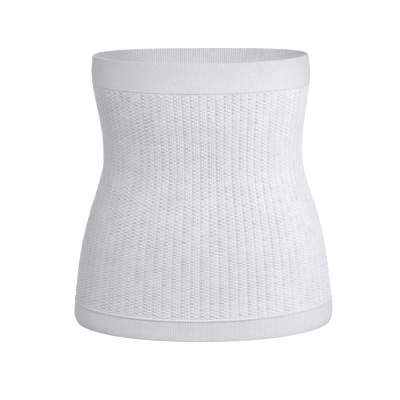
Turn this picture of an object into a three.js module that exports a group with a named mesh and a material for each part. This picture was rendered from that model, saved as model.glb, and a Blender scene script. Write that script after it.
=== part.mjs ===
// Torso support belt: one seamless knitted tube that is pulled on round the body, from the ribs to the hips.
// It is modelled as worn, stretched over a waist. A doubled band ends it above and below, and a raised ridge
// of tight stitches joins each band to the ribbed tube between them.
// Millimetres, +Z up, the front faces -Y. The origin is on the wearer's axis, at the narrowest height.

import * as THREE from "three";

// Heights above and below the narrowest height
const TOP_RISE = 130;
const HEM_DROP = 210;

// Widths from side to side: at the waist, at the fullest height above it and at the fullest height below it
const WAIST_WIDTH = 251;
const CHEST_WIDTH = 274;
const HIP_WIDTH = 332;

// Depths from the wearer's axis forwards and backwards, at the same three places
const WAIST_FRONT = 102.5;
const WAIST_BACK = 98;
const CHEST_FRONT = 108;
const CHEST_BACK = 107;
const HIP_FRONT = 114.5;
const HIP_BACK = 124;

// The section's squareness: 2 is a plain ellipse, and more is squarer
const SECTION_POWER = 2.1;

// The two doubled bands
const TOP_BAND_HEIGHT = 34;
const HEM_BAND_HEIGHT = 24.5;
const BAND_WALL = 3;

// The ridges of tight stitches between the bands and the tube, and how far each stands out
const TOP_RIDGE_HEIGHT = 2.2;
const HEM_RIDGE_HEIGHT = 3;
const TOP_RIDGE_STAND = 0.7;
const HEM_RIDGE_STAND = 1;

// The ribbed tube: its wall at a rib, the ribs round it and how deep the furrows between them are
const TUBE_WALL = 2.4;
const RIB_COUNT = 76;
const FURROW_DEPTH = 0.9;

// The gap that neighbouring pieces keep
const CLEARANCE = 0.3;

// How finely the curves are cut
const TUBE_ROWS_ABOVE_WAIST = 4;
const TUBE_ROWS_BELOW_WAIST = 6;
const BAND_ROWS = 2;
const FOLD_STEPS = 4;
const OUTLINE_STEPS = 720;

// How the tube swells on its way from the waist to a rim. at is the share of that way. side, front and back
// are shares of the step from the waist's size to the fullest size, and below 0 is drawn in past the waist.
const ABOVE_WAIST = [
  { at: 0, side: 0, front: 0, back: 0 },
  { at: 0.23, side: 0.06, front: 0.2, back: 0.12 },
  { at: 0.46, side: 0.44, front: 0.74, back: 0.6 },
  { at: 0.69, side: 0.86, front: 1, back: 0.97 },
  { at: 0.83, side: 1, front: 0.9, back: 1 },
  { at: 0.94, side: 0.86, front: 0.4, back: 0.65 },
  { at: 1, side: 0.62, front: -0.1, back: 0.4 },
];
const BELOW_WAIST = [
  { at: 0, side: 0, front: 0, back: 0 },
  { at: 0.14, side: 0.15, front: 0.22, back: 0.22 },
  { at: 0.31, side: 0.43, front: 0.62, back: 0.55 },
  { at: 0.48, side: 0.66, front: 0.84, back: 0.8 },
  { at: 0.64, side: 0.81, front: 0.88, back: 0.95 },
  { at: 0.79, side: 0.91, front: 0.92, back: 1 },
  { at: 0.87, side: 0.96, front: 1, back: 1 },
  { at: 0.94, side: 1, front: 1, back: 0.98 },
  { at: 0.975, side: 0.97, front: 0.93, back: 0.93 },
  { at: 1, side: 0.89, front: 0.76, back: 0.84 },
];

// One rib of the tube, from its left shoulder: at is a share of the rib's pitch and depth of the furrow's depth
const RIB_PROFILE = [
  { at: 0, depth: 0 },
  { at: 0.44, depth: 0 },
  { at: 0.72, depth: 1 },
];

const WAIST = { side: WAIST_WIDTH / 2, front: WAIST_FRONT, back: WAIST_BACK };
const CHEST = { side: CHEST_WIDTH / 2, front: CHEST_FRONT, back: CHEST_BACK };
const HIP = { side: HIP_WIDTH / 2, front: HIP_FRONT, back: HIP_BACK };

// A column of a swelling table at any share of the way, on a smooth curve through its rows.
// The waist is the narrowest height, so the curve starts level there.
function readAlong(rows, at, column) {
  const last = rows.length - 1;
  let row = 0;
  while (row < last - 1 && rows[row + 1].at < at) row += 1;
  const slopeAt = (index) => {
    if (index === 0) return 0;
    const before = rows[index - 1];
    const after = rows[Math.min(index + 1, last)];
    return (after[column] - before[column]) / (after.at - before.at);
  };
  const start = rows[row];
  const end = rows[row + 1];
  const span = end.at - start.at;
  const t = (at - start.at) / span;
  const rise = end[column] - start[column];
  const leave = slopeAt(row) * span;
  const arrive = slopeAt(row + 1) * span;
  const square = 3 * rise - 2 * leave - arrive;
  const cube = leave + arrive - 2 * rise;
  return start[column] + t * (leave + t * (square + t * cube));
}

// The half width and the two depths of the outline at a height
function sectionAt(z) {
  const above = z >= 0;
  const rows = above ? ABOVE_WAIST : BELOW_WAIST;
  const full = above ? CHEST : HIP;
  const at = above ? z / TOP_RISE : -z / HEM_DROP;
  const size = (column) => WAIST[column] + (full[column] - WAIST[column]) * readAlong(rows, at, column);
  return { side: size("side"), front: size("front"), back: size("back") };
}

// The outline at a height as a function of the share of the way round it, by length, from the front's middle
// towards +X and back. inset moves the point in from the outline.
function outlineAt(z) {
  const { side, front, back } = sectionAt(z);
  const bend = (value) => Math.sign(value) * Math.abs(value) ** (2 / SECTION_POWER);
  const points = [];
  const lengths = [0];
  for (let step = 0; step <= OUTLINE_STEPS; step += 1) {
    const angle = (2 * Math.PI * step) / OUTLINE_STEPS;
    const forward = bend(Math.cos(angle));
    points.push(new THREE.Vector2(side * bend(Math.sin(angle)), -forward * (forward > 0 ? front : back)));
    if (step > 0) lengths.push(lengths[step - 1] + points[step].distanceTo(points[step - 1]));
  }
  const total = lengths[OUTLINE_STEPS];
  return (share, inset) => {
    const target = share * total;
    let step = Math.min(Math.floor(share * OUTLINE_STEPS), OUTLINE_STEPS - 1);
    while (lengths[step] > target) step -= 1;
    while (lengths[step + 1] < target) step += 1;
    const t = (target - lengths[step]) / (lengths[step + 1] - lengths[step]);
    const point = points[step].clone().lerp(points[step + 1], t);
    const along = points[step + 1].clone().sub(points[step]).normalize();
    return new THREE.Vector3(point.x - along.y * inset, point.y + along.x * inset, z);
  };
}

// A ring of points at one height. Each station has its share of the way round and its own inset.
function ring(z, stations) {
  const outline = outlineAt(z);
  return {
    shares: stations.map((station) => station.share),
    points: stations.map((station) => outline(station.share, station.inset)),
  };
}

// Stations at every rib, all with the same inset
function evenStations(inset) {
  return Array.from({ length: RIB_COUNT }, (_, rib) => ({ share: rib / RIB_COUNT, inset }));
}

// Stations that follow the ribs and furrows of the tube's outer face
function ribbedStations() {
  const stations = [];
  for (let rib = 0; rib < RIB_COUNT; rib += 1) {
    for (const { at, depth } of RIB_PROFILE) {
      stations.push({ share: (rib + at) / RIB_COUNT, inset: depth * FURROW_DEPTH });
    }
  }
  return stations;
}

// A band of triangles between two rings that may have different numbers of points
function lace(faces, lower, upper) {
  const lowerCount = lower.points.length;
  const upperCount = upper.points.length;
  const shareOf = (one, index) => (index < one.points.length ? one.shares[index] : 1 + one.shares[0]);
  let i = 0;
  let j = 0;
  while (i < lowerCount || j < upperCount) {
    const a = lower.start + (i % lowerCount);
    const b = upper.start + (j % upperCount);
    const stepLower = j >= upperCount || (i < lowerCount && shareOf(lower, i + 1) <= shareOf(upper, j + 1));
    if (stepLower) {
      faces.push(a, lower.start + ((i + 1) % lowerCount), b);
      i += 1;
    } else {
      faces.push(a, upper.start + ((j + 1) % upperCount), b);
      j += 1;
    }
  }
}

// A closed wall round the body: its rings run up the outer face, over the top, down the inner face and back
function wallMesh(name, rings, material) {
  const places = [];
  for (const one of rings) {
    one.start = places.length / 3;
    for (const point of one.points) places.push(point.x, point.y, point.z);
  }
  const faces = [];
  rings.forEach((one, index) => lace(faces, one, rings[(index + 1) % rings.length]));
  const geometry = new THREE.BufferGeometry();
  geometry.setAttribute("position", new THREE.Float32BufferAttribute(places, 3));
  geometry.setIndex(faces);
  geometry.computeVertexNormals();
  const mesh = new THREE.Mesh(geometry, material);
  mesh.name = name;
  return mesh;
}

// The steps of a quarter turn or more, as sine and cosine, ends included
function arcSteps(from, to, steps) {
  return Array.from({ length: steps + 1 }, (_, step) => {
    const angle = from + ((to - from) * step) / steps;
    return { sine: Math.sin(angle), cosine: Math.cos(angle) };
  });
}

// A doubled band between two heights. Its fabric is folded over at the rim, which is round, and its other end
// is flat against the ridge.
function bandMesh(name, bottom, top, rimIsTop, material) {
  const radius = BAND_WALL / 2;
  const rim = rimIsTop ? top - radius : bottom + radius;
  const flat = rimIsTop ? bottom : top;
  const height = (row) => flat + ((rim - flat) * row) / BAND_ROWS;
  const rings = [];
  for (let row = 0; row < BAND_ROWS; row += 1) rings.push(ring(height(row), evenStations(0)));
  const away = rimIsTop ? 1 : -1;
  for (const { sine, cosine } of arcSteps(0, Math.PI, FOLD_STEPS)) {
    rings.push(ring(rim + away * radius * sine, evenStations(radius - radius * cosine)));
  }
  for (let row = BAND_ROWS - 1; row >= 0; row -= 1) rings.push(ring(height(row), evenStations(BAND_WALL)));
  return wallMesh(name, rimIsTop ? rings : rings.reverse(), material);
}

// A ridge between two heights, with a half-round bead outside
function ridgeMesh(name, bottom, top, stand, material) {
  const middle = (bottom + top) / 2;
  const half = (top - bottom) / 2;
  const rings = arcSteps(-Math.PI / 2, Math.PI / 2, FOLD_STEPS).map(({ sine, cosine }) =>
    ring(middle + half * sine, evenStations(-stand * cosine)),
  );
  rings.push(ring(top, evenStations(BAND_WALL)), ring(bottom, evenStations(BAND_WALL)));
  return wallMesh(name, rings, material);
}

// The ribbed tube between a height below the waist and one above it, with furrows outside and a plain face
// inside. One row lies at the waist itself.
function tubeMesh(name, bottom, top, material) {
  const heights = [];
  for (let row = TUBE_ROWS_BELOW_WAIST; row > 0; row -= 1) heights.push((bottom * row) / TUBE_ROWS_BELOW_WAIST);
  for (let row = 0; row <= TUBE_ROWS_ABOVE_WAIST; row += 1) heights.push((top * row) / TUBE_ROWS_ABOVE_WAIST);
  const outer = heights.map((z) => ring(z, ribbedStations()));
  const inner = heights.reverse().map((z) => ring(z, evenStations(TUBE_WALL)));
  return wallMesh(name, [...outer, ...inner], material);
}

const knit = (name, color) => new THREE.MeshStandardMaterial({ name, color, roughness: 0.95, metalness: 0 });
const bandKnit = knit("band_knit", 0xdcdbe0);
const ribKnit = knit("rib_knit", 0xd8d7dc);
const ridgeKnit = knit("ridge_knit", 0xe2e1e6);

// Where one piece ends and the next begins, from the hem up
const hemRim = -HEM_DROP;
const hemBandTop = hemRim + HEM_BAND_HEIGHT;
const hemRidgeBottom = hemBandTop + CLEARANCE;
const hemRidgeTop = hemRidgeBottom + HEM_RIDGE_HEIGHT;
const tubeBottom = hemRidgeTop + CLEARANCE;
const topRim = TOP_RISE;
const topBandBottom = topRim - TOP_BAND_HEIGHT;
const topRidgeTop = topBandBottom - CLEARANCE;
const topRidgeBottom = topRidgeTop - TOP_RIDGE_HEIGHT;
const tubeTop = topRidgeBottom - CLEARANCE;

const belt = new THREE.Group();
belt.name = "torso_support_belt";
belt.add(
  bandMesh("hem_band", hemRim, hemBandTop, false, bandKnit),
  ridgeMesh("hem_ridge", hemRidgeBottom, hemRidgeTop, HEM_RIDGE_STAND, ridgeKnit),
  tubeMesh("ribbed_tube", tubeBottom, tubeTop, ribKnit),
  ridgeMesh("top_ridge", topRidgeBottom, topRidgeTop, TOP_RIDGE_STAND, ridgeKnit),
  bandMesh("top_band", topBandBottom, topRim, true, bandKnit),
);

export default belt;
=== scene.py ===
"""Torso support belt: one seamless knitted tube with a doubled band at each end, filled out as when worn.

It is laid out as an add-on: sizes and finishes are properties, and each group of like pieces is an operator.
Lengths are in metres. The front faces -Y, and the origin is on the wearer's axis at the narrowest height.
"""

import math

import bpy
import numpy as np
from bpy.props import FloatProperty, FloatVectorProperty, IntProperty, PointerProperty
from mathutils import Matrix, Vector


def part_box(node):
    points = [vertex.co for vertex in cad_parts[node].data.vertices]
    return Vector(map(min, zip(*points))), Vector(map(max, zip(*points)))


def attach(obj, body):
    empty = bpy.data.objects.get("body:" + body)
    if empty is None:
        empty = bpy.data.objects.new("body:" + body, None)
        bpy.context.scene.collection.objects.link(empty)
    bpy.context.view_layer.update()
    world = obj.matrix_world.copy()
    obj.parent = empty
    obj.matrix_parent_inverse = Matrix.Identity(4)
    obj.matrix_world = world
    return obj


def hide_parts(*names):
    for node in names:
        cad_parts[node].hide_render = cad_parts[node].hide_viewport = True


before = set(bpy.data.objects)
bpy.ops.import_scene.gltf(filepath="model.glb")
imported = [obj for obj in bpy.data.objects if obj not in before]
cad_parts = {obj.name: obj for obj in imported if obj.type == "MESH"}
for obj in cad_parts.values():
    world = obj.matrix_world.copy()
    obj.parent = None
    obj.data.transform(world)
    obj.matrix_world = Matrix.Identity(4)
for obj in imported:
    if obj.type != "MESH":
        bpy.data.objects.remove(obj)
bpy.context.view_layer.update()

bl_info = {
    "name": "Torso support belt",
    "version": (1, 0, 0),
    "blender": (4, 5, 0),
    "location": "3D View > Sidebar > Belt",
    "description": "Knits a worn torso support belt round the packed frame",
    "category": "Add Mesh",
}

BODY = "root"
NODES = ("hem_band", "hem_ridge", "ribbed_tube", "top_ridge", "top_band")
LEVELS = {name: tuple(corner.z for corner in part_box(name)) for name in NODES}
HALF_TURN = math.pi
FULL_TURN = 2 * math.pi

# How the belt swells on its way from the waist to a rim: the share of that way, then the side's, the front's
# and the back's share of the step from the waist's size to the fullest size
ABOVE_WAIST = (
    (0.0, 0.0, 0.0, 0.0),
    (0.23, 0.06, 0.2, 0.12),
    (0.46, 0.44, 0.74, 0.6),
    (0.69, 0.86, 1.0, 0.97),
    (0.83, 1.0, 0.9, 1.0),
    (0.94, 0.89, 0.68, 0.75),
    (1.0, 0.82, 0.42, 0.55),
)
BELOW_WAIST = (
    (0.0, 0.0, 0.0, 0.0),
    (0.14, 0.15, 0.22, 0.22),
    (0.31, 0.43, 0.62, 0.55),
    (0.48, 0.66, 0.84, 0.8),
    (0.64, 0.81, 0.88, 0.95),
    (0.79, 0.91, 0.92, 1.0),
    (0.87, 0.96, 1.0, 1.0),
    (0.94, 1.0, 1.0, 0.98),
    (0.975, 0.99, 1.0, 0.96),
    (1.0, 0.93, 0.98, 0.92),
)
SECTION_STEPS = 2880

# How far from its ridge each lift of the sides reaches, as a share of the tube's height
HEM_LIFT_REACH = 0.35
TOP_LIFT_REACH = 0.25

# One rib across, from the furrow where panels meet. at: share of the rib's pitch. lift: height, where 1 is the
# crest and 0 the furrow. stitch and phase: how far each stitch swells and where in its row. pit: the eyelet's
# share, which also gets painted shade. shade: painted shade, how much darker the yarn is painted where it lies
# deep in and beside a furrow.
RIB_COLUMNS = (
    {"at": 0.00, "lift": 0.00, "stitch": 0.1, "phase": 0.50, "pit": 0.1, "shade": 1.0},
    {"at": 0.06, "lift": 0.00, "stitch": 0.1, "phase": 0.50, "pit": 0.2, "shade": 0.9},
    {"at": 0.12, "lift": 0.15, "stitch": 0.3, "phase": 0.50, "pit": 0.1, "shade": 0.6},
    {"at": 0.18, "lift": 0.45, "stitch": 0.7, "phase": 0.50, "pit": 0.0, "shade": 0.3},
    {"at": 0.24, "lift": 0.80, "stitch": 1.0, "phase": 0.50, "pit": 0.0, "shade": 0.0},
    {"at": 0.30, "lift": 0.90, "stitch": 1.2, "phase": 0.50, "pit": 0.0, "shade": 0.0},
    {"at": 0.36, "lift": 0.75, "stitch": 0.9, "phase": 0.50, "pit": 0.0, "shade": 0.1},
    {"at": 0.42, "lift": 0.35, "stitch": 0.3, "phase": 0.50, "pit": 0.1, "shade": 0.7},
    {"at": 0.48, "lift": 0.45, "stitch": 0.2, "phase": 0.30, "pit": 0.0, "shade": 0.6},
    {"at": 0.54, "lift": 0.85, "stitch": 0.4, "phase": 0.05, "pit": 0.0, "shade": 0.1},
    {"at": 0.60, "lift": 1.00, "stitch": 0.5, "phase": 0.00, "pit": 0.0, "shade": 0.0},
    {"at": 0.65, "lift": 0.97, "stitch": 0.4, "phase": 0.00, "pit": 0.3, "shade": 0.0},
    {"at": 0.70, "lift": 0.92, "stitch": 0.3, "phase": 0.00, "pit": 1.0, "shade": 0.0},
    {"at": 0.75, "lift": 0.97, "stitch": 0.4, "phase": 0.00, "pit": 0.3, "shade": 0.0},
    {"at": 0.81, "lift": 1.00, "stitch": 0.5, "phase": 0.00, "pit": 0.0, "shade": 0.0},
    {"at": 0.88, "lift": 0.60, "stitch": 0.4, "phase": 0.00, "pit": 0.0, "shade": 0.6},
)

# Height of one knitted row along the tube. at: share of the way up from the hem's ridge.
ROW_HEIGHTS = (
    {"at": 0.00, "height": 0.00400},
    {"at": 0.18, "height": 0.00365},
    {"at": 0.28, "height": 0.00370},
    {"at": 0.37, "height": 0.00422},
    {"at": 0.58, "height": 0.00445},
    {"at": 0.80, "height": 0.00420},
    {"at": 1.00, "height": 0.00420},
)
QUARTERS = 4

# Weights of the painted shade on the tube's outer face, darker where the knit lies deep: furrows, gaps between
# stitches and eyelets; and of the wear from rib to rib, the yarn's own uneven tone. The end weight is the painted
# shade that the first and the last row get, and END_ROWS how many rows fade.
FURROW_PAINTED_SHADE = 0.22
STITCH_PAINTED_SHADE = 0.42
EYELET_PAINTED_SHADE = 1.3
WEAR_DEPTH = 0.05
END_PAINTED_SHADE = 0.22
END_ROWS = 0.75

# The panels that the ribbed tube is divided into, at furrows, as shares of the way round from the front's middle
TUBE_PANELS = (
    ("tube_front", -0.125),
    ("tube_right", 0.125),
    ("tube_back", 0.375),
    ("tube_left", 0.625),
)

# How far the visual pieces reach over the small gaps between the solids, how much painted shade darkens an inner
# face, and how far the ribs stand out inside the tube
BAND_SEAT = 0.0003
TUBE_SEAT = 0.0004
INNER_PAINTED_SHADE = 0.95
INNER_RIB = 0.0003

# The doubled bands: stitch rows per metre, how far the fine ribs show outside, how round the folded rim is, and
# how far from the ridge the knit is drawn in
BAND_ROWS_PER_METRE = 900
BAND_RELIEF = 0.45
RIM_ROUNDNESS = 0.6
TUCK_REACH = 0.0022

# The ridges: how full the bead is, how far its edges lie under the plain form, and how far the fine ribs show
BEAD_FULLNESS = 0.7
BEAD_SINK = 0.0003
BEAD_RELIEF = 0.5

# Soft lamps round the belt. Azimuth 0 is in front of it and 90 to its right in the picture.
LAMPS = (
    {"name": "left_lamp", "azimuth": -74, "watts": 17},
    {"name": "front_lamp", "azimuth": 30, "watts": 28},
    {"name": "right_lamp", "azimuth": 60, "watts": 12.5},
    {"name": "back_lamp", "azimuth": 180, "watts": 21},
)
LAMP_ELEVATION = 20
LAMP_DISTANCE = 2.2
LAMP_SIZE = 0.6

# A weak lamp inside the belt, and the way its back faces
INNER_LAMP = {"place": (-0.05, -0.02, 0.05), "back": (-0.2, -0.06, -0.07), "size": 0.12, "watts": 0.16}
SKY_STRENGTH = 0.28
SENSOR_WIDTH = 36


class BeltShape(bpy.types.PropertyGroup):
    """Sizes of the body that fills the belt"""

    waist_width: FloatProperty(
        name="Waist width", description="Side to side at the narrowest height",
        default=0.251, unit="LENGTH")
    waist_front: FloatProperty(
        name="Waist front", description="Axis to the front at the waist",
        default=0.1025, unit="LENGTH")
    waist_back: FloatProperty(
        name="Waist back", description="Axis to the back at the waist",
        default=0.098, unit="LENGTH")
    chest_width: FloatProperty(
        name="Chest width", description="Side to side at the fullest height above the waist",
        default=0.274, unit="LENGTH")
    chest_front: FloatProperty(
        name="Chest front", description="Axis to the front above the waist",
        default=0.108, unit="LENGTH")
    chest_back: FloatProperty(
        name="Chest back", description="Axis to the back above the waist",
        default=0.107, unit="LENGTH")
    hip_width: FloatProperty(
        name="Hip width", description="Side to side at the fullest height below the waist",
        default=0.332, unit="LENGTH")
    hip_front: FloatProperty(
        name="Hip front", description="Axis to the front below the waist",
        default=0.1145, unit="LENGTH")
    hip_back: FloatProperty(
        name="Hip back", description="Axis to the back below the waist",
        default=0.124, unit="LENGTH")
    squareness: FloatProperty(
        name="Squareness", description="Power of the section: 2 is a plain ellipse",
        default=2.1)
    hem_side_lift: FloatProperty(
        name="Hem side lift", description="How far the hem ridge rides up at the sides",
        default=0.0042, unit="LENGTH")
    hem_lean: FloatProperty(
        name="Hem lean", description="How far the hem's rim rides up on the left alone",
        default=0.002, unit="LENGTH")
    top_side_lift: FloatProperty(
        name="Top side lift", description="How far the top band rides up at the sides",
        default=0.0013, unit="LENGTH")
    top_lean: FloatProperty(
        name="Top lean", description="How much more the top band rides up on the left",
        default=0.0014, unit="LENGTH")
    sway: FloatProperty(
        name="Sway", description="How far the waist sits to the right and both ends to the left",
        default=0.0008, unit="LENGTH")


class BeltKnit(bpy.types.PropertyGroup):
    """Sizes of the knit"""

    ribs: IntProperty(
        name="Ribs", description="Ribs round the tube",
        default=76)
    turn: FloatProperty(
        name="Turn", description="Ribs that the tube is turned to the left of the front's middle",
        default=0.42)
    drift: FloatProperty(
        name="Drift", description="How far the rows wander up and down from rib to rib",
        default=0.0011, unit="LENGTH")
    wales: IntProperty(
        name="Band ribs", description="Fine ribs of a band for each rib of the tube",
        default=4)
    tube_wall: FloatProperty(
        name="Tube wall", description="Thickness of the tube at a rib",
        default=0.0024, unit="LENGTH")
    band_wall: FloatProperty(
        name="Band wall", description="Thickness of a doubled band",
        default=0.0024, unit="LENGTH")
    stand: FloatProperty(
        name="Stand", description="How far the crests stand out of the plain form",
        default=0.0, unit="LENGTH")
    rib_height: FloatProperty(
        name="Rib height", description="From a furrow to a rib's crest",
        default=0.0007, unit="LENGTH")
    stitch_swell: FloatProperty(
        name="Stitch swell", description="How far each stitch swells out of its rib",
        default=0.0009, unit="LENGTH")
    eyelet_depth: FloatProperty(
        name="Eyelet depth", description="Depth of the eyelets along each rib",
        default=0.0017, unit="LENGTH")
    wale_height: FloatProperty(
        name="Fine rib height", description="From a valley to a crest of a band's fine ribs",
        default=0.0003, unit="LENGTH")
    hem_bead: FloatProperty(
        name="Hem ridge", description="How far the ridge above the hem band stands out",
        default=0.0008, unit="LENGTH")
    top_bead: FloatProperty(
        name="Top ridge", description="How far the ridge under the top band stands out",
        default=0.0004, unit="LENGTH")
    tuck: FloatProperty(
        name="Tuck", description="How far a knit is drawn in where it meets the hem's ridge",
        default=0.0003, unit="LENGTH")


class BeltFinish(bpy.types.PropertyGroup):
    """Colours and finish of the yarn"""

    yarn: FloatVectorProperty(
        name="Yarn", description="Colour of the yarn",
        subtype="COLOR", size=3, default=(0.90, 0.892, 0.935), min=0, max=1)
    # The dark colour that painted shade, with the yarn's own tone and wear, mixes the yarn towards deep in the
    # knit
    depth: FloatVectorProperty(
        name="Depth of the knit", description="Colour deep between the stitches",
        subtype="COLOR", size=3, default=(0.16, 0.154, 0.18), min=0, max=1)
    roughness: FloatProperty(
        name="Roughness", description="Roughness of the yarn",
        subtype="FACTOR", default=0.92, min=0, max=1)
    fuzz: FloatProperty(
        name="Fuzz", description="Weight of the sheen that the fine fibres give",
        subtype="FACTOR", default=0.4, min=0, max=1)


class BeltStudio(bpy.types.PropertyGroup):
    """Camera and floor"""

    distance: FloatProperty(
        name="Camera distance", description="From the wearer's axis",
        default=2.05, unit="LENGTH")
    height: FloatProperty(
        name="Camera height", description="Above the waist",
        default=0.3275, unit="LENGTH")
    lens: FloatProperty(
        name="Lens", description="Focal length in millimetres",
        default=147.5, unit="CAMERA")
    pitch: FloatProperty(
        name="Pitch", description="How far the camera looks down",
        subtype="ANGLE", default=math.radians(10.55))
    yaw: FloatProperty(
        name="Yaw", description="How far the camera looks to the left",
        subtype="ANGLE", default=math.radians(0.101))
    roll: FloatProperty(
        name="Roll", description="How far the picture leans",
        subtype="ANGLE", default=math.radians(-0.67))
    floor_drop: FloatProperty(
        name="Floor drop", description="From the waist down to the floor",
        default=1.05, unit="LENGTH")
    floor_reach: FloatProperty(
        name="Floor reach", description="How far the floor goes",
        default=60, unit="LENGTH")


def smooth_column(rows, at, column):
    """A column of a swelling table at shares of the way, on a curve that is level at the waist."""
    table = np.array(rows)
    place, value = table[:, 0], table[:, column]
    slope = np.zeros(len(table))
    slope[1:-1] = (value[2:] - value[:-2]) / (place[2:] - place[:-2])
    slope[-1] = (value[-1] - value[-2]) / (place[-1] - place[-2])
    row = np.clip(np.searchsorted(place, at) - 1, 0, len(table) - 2)
    span = place[row + 1] - place[row]
    t = (at - place[row]) / span
    rise = value[row + 1] - value[row]
    leave, arrive = slope[row] * span, slope[row + 1] * span
    return value[row] + t * (leave + t * (3 * rise - 2 * leave - arrive + t * (leave + arrive - 2 * rise)))


def section(shape, z):
    """Half width, depth to the front and depth to the back of the outline at each height."""
    top, hem = LEVELS["top_band"][1], LEVELS["hem_band"][0]
    sizes = []
    for column, name in enumerate(("side", "front", "back"), start=1):
        waist, chest, hip = (
            getattr(shape, f"{where}_width") / 2 if name == "side" else getattr(shape, f"{where}_{name}")
            for where in ("waist", "chest", "hip")
        )
        above = waist + (chest - waist) * smooth_column(ABOVE_WAIST, np.clip(z / top, 0, 1), column)
        below = waist + (hip - waist) * smooth_column(BELOW_WAIST, np.clip(z / hem, 0, 1), column)
        sizes.append(np.where(z >= 0, above, below))
    return np.stack(sizes, -1)


def side_lift(shape, z, share):
    """How far a point of the belt rides up, which is most at the sides and towards the two ridges."""
    hem, ridge, top = LEVELS["hem_band"][0], LEVELS["hem_ridge"][0], LEVELS["top_ridge"][1]
    near_hem = math.exp(-((max(z - ridge, 0) / (HEM_LIFT_REACH * (top - ridge))) ** 2))
    near_top = math.exp(-((max(top - z, 0) / (TOP_LIFT_REACH * (top - ridge))) ** 2))
    both_sides = np.sin(FULL_TURN * share) ** 2
    left_side = (both_sides - np.sin(FULL_TURN * share)) / 2
    in_band = min((z - hem) / (ridge - hem), 1)
    at_hem = shape.hem_side_lift * in_band * both_sides + shape.hem_lean * (1 - in_band) * left_side
    return near_hem * at_hem + near_top * (shape.top_side_lift * both_sides + shape.top_lean * left_side)


def sway(shape, z):
    """How far the belt's middle sits to the right at a height."""
    way = z / LEVELS["top_band"][1] if z > 0 else z / LEVELS["hem_band"][0]
    return shape.sway * math.cos(HALF_TURN * way)


def bent(value, power):
    """A value raised to a power, with its sign kept."""
    return np.sign(value) * np.abs(value) ** power


def lay_rows(shape, heights, shares, outset):
    """A grid of points: rows at heights, columns at shares of the way round, each pushed out by its outset."""
    angle = np.linspace(0, FULL_TURN, SECTION_STEPS + 1)
    sideways, forward = (bent(turned, 2 / shape.squareness) for turned in (np.sin(angle), np.cos(angle)))
    points = np.empty((len(heights), len(shares), 3))
    for row, (side, front, back) in enumerate(section(shape, heights)):
        x, y = side * sideways, -forward * np.where(forward > 0, front, back)
        length = np.concatenate([[0], np.cumsum(np.hypot(np.diff(x), np.diff(y)))])
        way = length / length[-1]
        run_x, run_y = (np.gradient(np.r_[v[-2], v, v[1]])[1:-1] for v in (x, y))
        size = np.hypot(run_x, run_y)
        at_x, at_y, out_x, out_y = (
            np.interp(shares % 1, way, values) for values in (x, y, run_y / size, run_x / size)
        )
        points[row, :, 0] = at_x + out_x * outset[row] + sway(shape, heights[row])
        points[row, :, 1] = at_y - out_y * outset[row]
        points[row, :, 2] = heights[row] + side_lift(shape, heights[row], shares)
    return points


def make_piece(name, points, faces, flat_faces, hollow, knit, replaced, material):
    """A mesh piece that rides on the belt's body, stands for CAD nodes and carries its place in the knit."""
    mesh = bpy.data.meshes.new(name)
    sizes = np.array([len(face) for face in faces], dtype=np.int32)
    corners = np.concatenate([np.asarray(face, np.int32) for face in faces])
    mesh.vertices.add(len(points))
    mesh.vertices.foreach_set("co", np.asarray(points, np.float32).ravel())
    mesh.loops.add(len(corners))
    mesh.loops.foreach_set("vertex_index", corners)
    mesh.polygons.add(len(sizes))
    mesh.polygons.foreach_set("loop_start", np.concatenate([[0], np.cumsum(sizes)[:-1]]).astype(np.int32))
    mesh.polygons.foreach_set("use_smooth", ~np.asarray(flat_faces, bool))
    mesh.update(calc_edges=True)
    # Each point's painted shade, with the yarn's own tone and wear
    shade_and_tone_layer = mesh.attributes.new("hollow", "FLOAT", "POINT")
    shade_and_tone_layer.data.foreach_set("value", np.asarray(hollow, np.float32).ravel())
    places = np.asarray(knit, np.float32)[corners]
    if len(set(sizes)) == 1:
        close_the_ring(places.reshape(-1, sizes[0], 3))
    mesh.attributes.new("knit", "FLOAT_VECTOR", "CORNER").data.foreach_set("vector", places.ravel())
    mesh.validate()
    mesh.materials.append(material)
    piece = bpy.data.objects.new(name, mesh)
    bpy.context.scene.collection.objects.link(piece)
    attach(piece, BODY)
    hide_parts(*replaced)
    return piece


def close_the_ring(places):
    """Counts on past a whole turn in the faces that join a ring's last column to its first."""
    joins = np.ptp(places[..., 0], axis=1) > 0.5
    places[..., 0] += joins[:, None] & (places[..., 0] < 0.5)


def quads_of(a, b, c, d):
    """Quads from four grids of point numbers."""
    return np.stack([a.ravel(), b.ravel(), c.ravel(), d.ravel()], -1)


def ring_faces(rings, columns):
    """Quads of a wall that closes on itself both ways."""
    ring, column = np.meshgrid(np.arange(rings), np.arange(columns), indexing="ij")
    after, beside = (ring + 1) % rings, (column + 1) % columns
    return quads_of(ring * columns + column, ring * columns + beside,
                    after * columns + beside, after * columns + column)


def knit_places(shares, rows):
    """The place in the knit of a grid of points: the share of the way round and the row."""
    places = np.zeros((len(rows), len(shares), 3))
    places[..., 0] = shares[None, :]
    places[..., 1] = rows[:, None]
    return places


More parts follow.
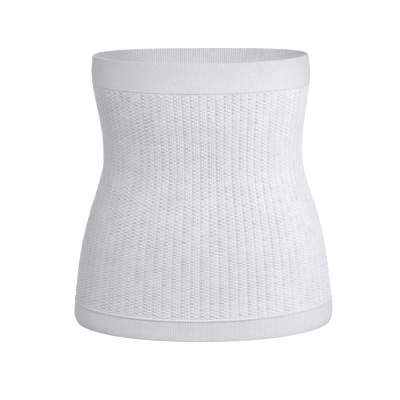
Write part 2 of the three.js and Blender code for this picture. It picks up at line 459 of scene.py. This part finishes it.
def closed_wall(name, shape, profile, wales, shade, replaced, material):
    """A wall all the way round from a closed profile of heights, outsets and relief weights.

    Outsets are measured from the plain form, and the inner face's are below 0. wales: stations round the belt
    and the depth at each. shade: how dark the outer face is painted at its foot and at its head, graded between
    them; the relief's valleys and the inner face are painted darker as painted shade.
    """
    shares, relief = wales
    heights, outsets, weights = (np.array(values) for values in zip(*profile))
    inside = np.clip(-outsets / -outsets.min(), 0, 1)
    outset = outsets[:, None] - relief[None, :] * weights[:, None]
    points = lay_rows(shape, heights, shares, outset)
    # The outer face's painted grade from foot to head, then painted shade in the rib valleys and on the inner face
    outer_shade = np.interp(heights, [heights.min(), heights.max()], shade)
    hollow = (relief / relief.max())[None, :] * np.abs(weights)[:, None]
    # Painted shade on the inner face
    hollow = hollow + np.maximum(outer_shade, INNER_PAINTED_SHADE * inside)[:, None]
    knit = knit_places(shares, heights * BAND_ROWS_PER_METRE)
    ends = np.abs(outsets - np.roll(outsets, -1)) > 0.001
    return make_piece(name, points.reshape(-1, 3), ring_faces(len(heights), len(shares)),
                      np.repeat(ends, len(shares)), hollow, knit.reshape(-1, 3), replaced, material)


def wale_shares(knit):
    """Four stations for each fine rib of a band, and how deep each lies."""
    count = knit.ribs * knit.wales * 4
    station = np.arange(count)
    depth = knit.wale_height * (1 - np.cos(FULL_TURN * station / 4)) / 2
    return station / count, depth


def band_profile(knit, flat_end, rim, rows, tuck):
    """Up a band's outer face, round its folded rim and back down its inner face, from the ridge's side."""
    away = math.copysign(1, rim - flat_end)
    radius = knit.band_wall / 2
    fold = rim - away * radius * RIM_ROUNDNESS
    outer = []
    # The second row lies close to the first, so that the shading turns at the very edge only
    for way in (0, 0.005, *(row / rows for row in range(1, rows + 1))):
        z = flat_end + (fold - flat_end) * way
        outer.append((z, -tuck * math.exp(-(((z - flat_end) / TUCK_REACH) ** 2)), BAND_RELIEF))
    turn = []
    for step in range(1, 8):
        angle = HALF_TURN * step / 8
        turn.append((
            fold + away * radius * RIM_ROUNDNESS * math.sin(angle),
            radius * math.cos(angle) - radius,
            BAND_RELIEF * math.cos(angle),
        ))
    inner = [(z, -knit.band_wall, -1.0) for z, _, _ in reversed(outer)]
    profile = outer + turn + inner
    return profile if away > 0 else profile[::-1]


def ridge_profile(knit, low, high, stand, upper):
    """A bead that stands out of the wall, and its inner side. upper: what its upper edge keeps of its height."""
    middle, half = (low + high) / 2, (high - low) / 2
    profile = []
    for step in range(9):
        angle = HALF_TURN * (step / 8 - 0.5)
        fullness = max(math.cos(angle), 0) ** BEAD_FULLNESS
        if angle > 0:
            fullness = max(fullness, upper)
        outset = stand * fullness - BEAD_SINK * (1 - fullness)
        profile.append((middle + half * math.sin(angle), outset, BEAD_RELIEF * fullness))
    return profile + [(high, -knit.band_wall, 0.0), (low, -knit.band_wall, 0.0)]


class BELT_OT_bands(bpy.types.Operator):
    """Knit the two doubled bands of fine ribs"""

    bl_idname = "belt.bands"
    bl_label = "Bands"

    def execute(self, context):
        shape, knit = context.scene.belt_shape, context.scene.belt_knit
        wales = wale_shares(knit)
        material = band_material(context.scene.belt_finish, knit)
        (top_low, top_high), (hem_low, hem_high) = LEVELS["top_band"], LEVELS["hem_band"]
        top = band_profile(knit, top_low - BAND_SEAT, top_high, 11, 0.0)
        hem = band_profile(knit, hem_high + BAND_SEAT, hem_low, 9, knit.tuck)
        # These shades are partly the top band's own greyer tone, and partly painted light and shade graded from
        # foot to head to even out how light falls on each band: the top band darker towards its rim, the hem band
        # darker towards its ridge.
        closed_wall("top_band_knit", shape, top, wales, (0.05, 0.42), ["top_band"], material)
        closed_wall("hem_band_knit", shape, hem, wales, (0.0, 0.1), ["hem_band"], material)
        return {"FINISHED"}


class BELT_OT_ridges(bpy.types.Operator):
    """Knit the raised ridges between the bands and the tube"""

    bl_idname = "belt.ridges"
    bl_label = "Ridges"

    def execute(self, context):
        shape, knit = context.scene.belt_shape, context.scene.belt_knit
        wales = wale_shares(knit)
        material = ridge_material(context.scene.belt_finish, knit)
        for name, stand, upper in (("top_ridge", knit.top_bead, 0.35), ("hem_ridge", knit.hem_bead, 0.0)):
            profile = ridge_profile(knit, *LEVELS[name], stand, upper)
            closed_wall(f"{name}_knit", shape, profile, wales, (0.0, 0.0), [name], material)
        return {"FINISHED"}


def row_heights(low, high):
    """Heights of the quarter rows up the tube."""
    at = [entry["at"] for entry in ROW_HEIGHTS]
    tall = [entry["height"] for entry in ROW_HEIGHTS]
    steps = 2000
    way = np.linspace(0, 1, steps + 1)
    height_here = np.interp((way[1:] + way[:-1]) / 2, at, tall)
    rows_so_far = np.concatenate([[0], np.cumsum((high - low) / steps / height_here)])
    quarters = round(rows_so_far[-1]) * QUARTERS
    return low + (high - low) * np.interp(np.linspace(0, rows_so_far[-1], quarters + 1), rows_so_far, way)


def ease(t):
    """A share from 0 to 1 that starts and ends softly."""
    return t * t * (3 - 2 * t)


def slow_noise(dice, rows, ribs, rows_per_wave, ribs_per_wave):
    """Smooth unevenness between -1 and 1 over so many quarter rows and ribs, which meets itself round the belt."""
    grid = dice.uniform(-1, 1, (int(rows / rows_per_wave) + 2, int(ribs / ribs_per_wave)))
    down = np.arange(rows) / rows_per_wave
    along = np.arange(ribs) / ribs * grid.shape[1]
    i, j = down.astype(int), along.astype(int)
    u, v = ease(down - i)[:, None], ease(along - j)[None, :]
    beside = (j + 1) % grid.shape[1]
    upper = grid[i][:, j] * (1 - v) + grid[i][:, beside] * v
    lower = grid[i + 1][:, j] * (1 - v) + grid[i + 1][:, beside] * v
    return upper * (1 - u) + lower * u


def tube_relief(knit, ribs, columns, quarter_rows, chance, wear):
    """How far each point of the tube's outer face lies from the plain form, and how dark it is painted: painted
    shade deep in the knit, and wear.
    """
    lift, stitch, phase, pit, shade = (
        np.array([RIB_COLUMNS[column][key] for column in columns])
        for key in ("lift", "stitch", "phase", "pit", "shade")
    )
    row = np.arange(quarter_rows) / QUARTERS
    angle = FULL_TURN * (row[:, None] - phase[None, :])
    uneven = chance[row.astype(int)][:, ribs % chance.shape[1]]
    swell = stitch * np.cos(angle) * (0.4 + 1.2 * uneven)
    between = (1 - np.cos(angle)) / 2
    eyelet = pit * between**3 * (0.6 + 0.5 * uneven)
    shown = np.clip(np.minimum(row, row[-1] - row) / END_ROWS, 0, 1)[:, None]
    base = knit.stand - (1 - lift) * knit.rib_height
    outset = (base + knit.stitch_swell * swell - knit.eyelet_depth * eyelet) * (0.25 + 0.75 * shown)
    outset = outset - knit.tuck * (1 - shown)
    # Painted shade in furrows, between stitches and in eyelets, then the wear from rib to rib
    hollow = FURROW_PAINTED_SHADE * shade + STITCH_PAINTED_SHADE * stitch**2 * between * (0.5 + uneven) + EYELET_PAINTED_SHADE * eyelet
    hollow = np.clip(hollow + WEAR_DEPTH * wear[:, ribs % wear.shape[1]], 0, 1)
    return outset, hollow * shown + END_PAINTED_SHADE * (1 - shown)


def join_rows(outer, inner):
    """Triangles between the two edges of a cut through the wall, which have different numbers of points."""
    faces = []
    i = j = 0
    while i < len(outer) - 1 or j < len(inner) - 1:
        outer_next = (i + 1) / (len(outer) - 1)
        inner_next = (j + 1) / (len(inner) - 1)
        if j == len(inner) - 1 or (i < len(outer) - 1 and outer_next <= inner_next):
            faces.append((outer[i], outer[i + 1], inner[j]))
            i += 1
        else:
            faces.append((outer[i], inner[j + 1], inner[j]))
            j += 1
    return faces


def add_edge_lines(grid):
    """Adds a line of points close by each edge of a grid, so that the shading turns at the very edge only."""
    for axis in (0, 1):
        lines = np.moveaxis(grid, axis, 0)
        first, last = lines[0] * 0.9 + lines[1] * 0.1, lines[-1] * 0.9 + lines[-2] * 0.1
        lines = np.concatenate([lines[:1], first[None], lines[1:-1], last[None], lines[-1:]])
        grid = np.moveaxis(lines, 0, axis)
    return grid


def tube_panel(name, context, start, material, heights, chance, drift, wear):
    """One panel of the ribbed tube: knitted outer face, plain inner face and cut edges hidden in furrows."""
    shape, knit = context.scene.belt_shape, context.scene.belt_knit
    ribs = knit.ribs // len(TUBE_PANELS)
    first = math.floor(start * knit.ribs)
    rows = len(heights)

    rib, column = np.divmod(np.arange(ribs * len(RIB_COLUMNS) + 1), len(RIB_COLUMNS))
    rib = first + rib
    at = np.array([entry["at"] for entry in RIB_COLUMNS])[column]
    outer_shares = (rib + at - knit.turn) / knit.ribs
    outset, outer_shade_and_tone = tube_relief(knit, rib, column, rows, chance, wear)
    outer = lay_rows(shape, heights, outer_shares, outset)
    outer[..., 2] += knit.drift * drift[:, rib % knit.ribs]

    inner_rib, furrow = np.divmod(np.arange(ribs * 2 + 1), 2)
    inner_shares = (first + inner_rib + furrow / 2 - knit.turn) / knit.ribs
    inner_outset = np.repeat((-knit.tube_wall - INNER_RIB * (1 - furrow))[None, :], rows, axis=0)
    # Painted shade on the inner face, darker in its furrows
    inner_painted_shade = np.repeat((0.1 + 0.35 * furrow)[None, :], rows, axis=0)
    inner = lay_rows(shape, heights, inner_shares, inner_outset)
    inner[..., 2] += knit.drift * drift[:, (first + inner_rib) % knit.ribs]

    row = np.arange(rows) / QUARTERS
    places = (knit_places(outer_shares, row), knit_places(inner_shares, row))
    outer, inner, outer_shade_and_tone, inner_painted_shade, *places = (
        add_edge_lines(grid) for grid in (outer, inner, outer_shade_and_tone, inner_painted_shade, *places)
    )

    o = np.arange(outer_shade_and_tone.size).reshape(outer_shade_and_tone.shape)
    i = o.size + np.arange(inner_painted_shade.size).reshape(inner_painted_shade.shape)
    smooth = np.concatenate([
        quads_of(o[:-1, :-1], o[:-1, 1:], o[1:, 1:], o[1:, :-1]),
        quads_of(i[:-1, :-1], i[1:, :-1], i[1:, 1:], i[:-1, 1:]),
    ])
    cuts = np.concatenate([
        quads_of(o[:-1, 0], o[1:, 0], i[1:, 0], i[:-1, 0]),
        quads_of(o[1:, -1], o[:-1, -1], i[:-1, -1], i[1:, -1]),
    ])
    upper_cut = join_rows(o[-1], i[-1])
    lower_cut = [face[::-1] for face in join_rows(o[0], i[0])]
    faces = [*smooth, *cuts, *upper_cut, *lower_cut]
    flat = np.arange(len(faces)) >= len(smooth)

    points = np.concatenate([outer.reshape(-1, 3), inner.reshape(-1, 3)])
    hollow = np.concatenate([outer_shade_and_tone.ravel(), inner_painted_shade.ravel()])
    in_knit = np.concatenate([place.reshape(-1, 3) for place in places])
    return make_piece(name, points, faces, flat, hollow, in_knit, ["ribbed_tube"], material)


class BELT_OT_tube(bpy.types.Operator):
    """Knit the ribbed tube, in panels that meet in furrows"""

    bl_idname = "belt.tube"
    bl_label = "Ribbed tube"

    def execute(self, context):
        knit = context.scene.belt_knit
        low, high = LEVELS["ribbed_tube"]
        heights = row_heights(low - TUBE_SEAT, high + TUBE_SEAT)
        rows = len(heights)
        dice = np.random.default_rng(5)
        chance = dice.random((rows // QUARTERS + 1, knit.ribs))
        drift = slow_noise(dice, rows, knit.ribs, 36, 2)
        drift *= np.sin(np.linspace(0, HALF_TURN, rows))[:, None] ** 0.5
        wear = slow_noise(dice, rows, knit.ribs, 24, 1)
        material = rib_material(context.scene.belt_finish, knit)
        for name, start in TUBE_PANELS:
            tube_panel(name, context, start, material, heights, chance, drift, wear)
        return {"FINISHED"}


class Wire:
    """A shader socket that can be used in sums, which adds Math nodes."""

    def __init__(self, shader, socket):
        self.shader, self.socket = shader, socket

    def maths(self, operation, *others):
        return self.shader.add("ShaderNodeMath", {"operation": operation}, dict(enumerate((self, *others))))

    def __add__(self, other):
        return self.maths("ADD", other)

    def __radd__(self, other):
        return self.maths("ADD", other)

    def __sub__(self, other):
        return self.maths("SUBTRACT", other)

    def __rsub__(self, other):
        return (self * -1) + other

    def __mul__(self, other):
        return self.maths("MULTIPLY", other)

    def __rmul__(self, other):
        return self.maths("MULTIPLY", other)

    def __abs__(self):
        return self.maths("ABSOLUTE")

    def sine(self):
        return self.maths("SINE")

    def fraction(self):
        return self.maths("FRACT")

    def limit(self):
        return self.shader.add("ShaderNodeClamp", {}, {0: self})


class Shader:
    """A node tree, and the one way to add a node to it."""

    def __init__(self, tree):
        self.tree = tree
        tree.nodes.clear()

    def add(self, kind, settings, sockets, output=0):
        """Adds a node with its settings and the values or links of its sockets, and gives one output."""
        node = self.tree.nodes.new(kind)
        for name, value in settings.items():
            setattr(node, name, value)
        for name, value in sockets.items():
            if isinstance(value, Wire):
                self.tree.links.new(value.socket, node.inputs[name])
            else:
                node.inputs[name].default_value = value
        return Wire(self, node.outputs[output]) if node.outputs else None

    def blend(self, factor, low, high):
        """A colour between two colours."""
        return self.add("ShaderNodeMix", {"data_type": "RGBA"}, {0: factor, 6: low, 7: high}, output=2)


def opaque(colour):
    """A colour with full cover."""
    return (*colour, 1.0)


def yarn_colour(shader, finish, hollow, shade_and_tone_weight, shade):
    """The yarn's colour: painted shade deep in the knit, and its own tone, worn and uneven from place to place."""
    where = shader.add("ShaderNodeNewGeometry", {}, {})
    cloud = shader.add("ShaderNodeTexNoise", {}, {"Vector": where, "Scale": 38.0, "Detail": 3.0, "Roughness": 0.6})
    fleck = shader.add("ShaderNodeTexNoise", {}, {"Vector": where, "Scale": 900.0, "Detail": 1.0})
    depth = (hollow * shade_and_tone_weight + (cloud - 0.5) * 0.10 + (fleck - 0.5) * 0.4 + shade).limit()
    return shader.blend(depth, opaque(finish.yarn), opaque(finish.depth))


def chevrons(share, row, wales, rows):
    """The height of small v-shaped stitches, so many round the belt and so many to a row."""
    across = abs((share * wales).fraction() - 0.5)
    return ((row * rows + across * 1.4) * FULL_TURN).sine() * 0.5 + (0.5 - across)


def knit_material(name, finish, shade_and_tone_weight, shade, wales, rows, bump_distance):
    """A yarn material, whose colour and fine height come from the place in the knit."""
    material = bpy.data.materials.new(name)
    material.use_nodes = True
    shader = Shader(material.node_tree)
    knit = shader.add("ShaderNodeAttribute", {"attribute_name": "knit"}, {}, output=1)
    share = shader.add("ShaderNodeSeparateXYZ", {}, {0: knit}, output=0)
    row = shader.add("ShaderNodeSeparateXYZ", {}, {0: knit}, output=1)
    # Painted shade deep in the knit, with the yarn's own tone, at each point
    hollow = shader.add("ShaderNodeAttribute", {"attribute_name": "hollow"}, {}, output=2)
    colour = yarn_colour(shader, finish, hollow, shade_and_tone_weight, shade)
    height = chevrons(share, row, wales, rows)
    bump = shader.add("ShaderNodeBump", {}, {"Strength": 0.6, "Distance": bump_distance, "Height": height})
    surface = shader.add("ShaderNodeBsdfPrincipled", {}, {
        "Base Color": colour,
        "Roughness": finish.roughness,
        "Sheen Weight": finish.fuzz,
        "Sheen Roughness": 0.6,
        "Specular IOR Level": 0.2,
        "Normal": bump,
    })
    shader.add("ShaderNodeOutputMaterial", {}, {"Surface": surface})
    return material


def rib_material(finish, knit):
    """The openwork ribs' yarn."""
    return knit_material("rib_knit", finish, 0.6, 0.0, knit.ribs * 8, 2.0, 0.0004)


def band_material(finish, knit):
    """The doubled bands' yarn."""
    return knit_material("band_knit", finish, 0.35, 0.08, knit.ribs * knit.wales, 1.0, 0.00025)


def ridge_material(finish, knit):
    """The tight rows' yarn, painted a little darker all over: painted shade that tones down the light on the
    beads.
    """
    return knit_material("ridge_knit", finish, 0.3, 0.15, knit.ribs * knit.wales, 1.0, 0.0003)


def plain_material(name, colour, glow):
    """A plain pale material that gives some light of its own."""
    material = bpy.data.materials.new(name)
    material.use_nodes = True
    shader = Shader(material.node_tree)
    surface = shader.add("ShaderNodeBsdfPrincipled", {}, {
        "Base Color": opaque(colour),
        "Roughness": 1.0,
        "Specular IOR Level": 0.0,
        "Emission Color": opaque(colour),
        "Emission Strength": glow,
    })
    shader.add("ShaderNodeOutputMaterial", {}, {"Surface": surface})
    return material


def add_lamp(name, place, back, size, watts):
    """A square soft lamp at a place. back: the way its back faces."""
    lamp = bpy.data.lights.new(name, "AREA")
    lamp.energy, lamp.size = watts, size
    holder = bpy.data.objects.new(name, lamp)
    holder.matrix_world = Matrix.Translation(place) @ back.to_track_quat("Z", "Y").to_matrix().to_4x4()
    bpy.context.scene.collection.objects.link(holder)
    return holder


class BELT_OT_studio(bpy.types.Operator):
    """Set up the floor, the lamps and the camera"""

    bl_idname = "belt.studio"
    bl_label = "Studio"

    def execute(self, context):
        studio = context.scene.belt_studio
        reach, drop = studio.floor_reach, studio.floor_drop
        mesh = bpy.data.meshes.new("floor")
        corners = [(-reach, -reach, -drop), (reach, -reach, -drop), (reach, reach, -drop), (-reach, reach, -drop)]
        mesh.from_pydata(corners, [], [(0, 1, 2, 3)])
        mesh.materials.append(plain_material("pale_floor", (0.9, 0.9, 0.9), 1.0))
        floor = bpy.data.objects.new("floor", mesh)
        context.scene.collection.objects.link(floor)
        floor.visible_diffuse = floor.visible_glossy = False

        world = bpy.data.worlds.new("studio")
        world.use_nodes = True
        sky = world.node_tree.nodes["Background"]
        sky.inputs["Color"].default_value = (1, 1, 1, 1)
        sky.inputs["Strength"].default_value = SKY_STRENGTH
        context.scene.world = world

        e = math.radians(LAMP_ELEVATION)
        for lamp in LAMPS:
            a = math.radians(lamp["azimuth"])
            way = Vector((math.sin(a) * math.cos(e), -math.cos(a) * math.cos(e), math.sin(e)))
            add_lamp(lamp["name"], way * LAMP_DISTANCE, way, LAMP_SIZE, lamp["watts"])
        place, back = Vector(INNER_LAMP["place"]), Vector(INNER_LAMP["back"])
        inner = add_lamp("inner_lamp", place, back, INNER_LAMP["size"], INNER_LAMP["watts"])
        inner.visible_camera = False

        camera = bpy.data.cameras.new("camera")
        camera.lens, camera.sensor_width = studio.lens, SENSOR_WIDTH
        holder = bpy.data.objects.new("camera", camera)
        upright = Matrix.Rotation(math.radians(90) - studio.pitch, 4, "X")
        turn = Matrix.Rotation(studio.yaw, 4, "Z")
        lean = Matrix.Rotation(studio.roll, 4, "Z")
        stand = Matrix.Translation((0, -studio.distance, studio.height))
        holder.matrix_world = stand @ turn @ upright @ lean
        context.scene.collection.objects.link(holder)
        context.scene.camera = holder
        context.scene.view_settings.view_transform = "Standard"
        return {"FINISHED"}


class BELT_PT_panel(bpy.types.Panel):
    """Sizes, finish and makers of the belt"""

    bl_label = "Torso support belt"
    bl_space_type = "VIEW_3D"
    bl_region_type = "UI"
    bl_category = "Belt"

    def draw(self, context):
        for group in (getattr(context.scene, name) for name in GROUPS):
            box = self.layout.box()
            for name in group.bl_rna.properties.keys():
                if name not in ("rna_type", "name"):
                    box.prop(group, name)
        for maker in MAKERS:
            self.layout.operator(maker.bl_idname)


GROUPS = {"belt_shape": BeltShape, "belt_knit": BeltKnit, "belt_finish": BeltFinish, "belt_studio": BeltStudio}
MAKERS = (BELT_OT_studio, BELT_OT_bands, BELT_OT_ridges, BELT_OT_tube)


def register():
    for cls in (*GROUPS.values(), *MAKERS, BELT_PT_panel):
        bpy.utils.register_class(cls)
    for name, group in GROUPS.items():
        setattr(bpy.types.Scene, name, PointerProperty(type=group))


def unregister():
    for name in GROUPS:
        delattr(bpy.types.Scene, name)
    for cls in reversed((*GROUPS.values(), *MAKERS, BELT_PT_panel)):
        bpy.utils.unregister_class(cls)


def main():
    register()
    bpy.ops.belt.studio()
    bpy.ops.belt.bands()
    bpy.ops.belt.ridges()
    bpy.ops.belt.tube()


if __name__ == "__main__":
    main()
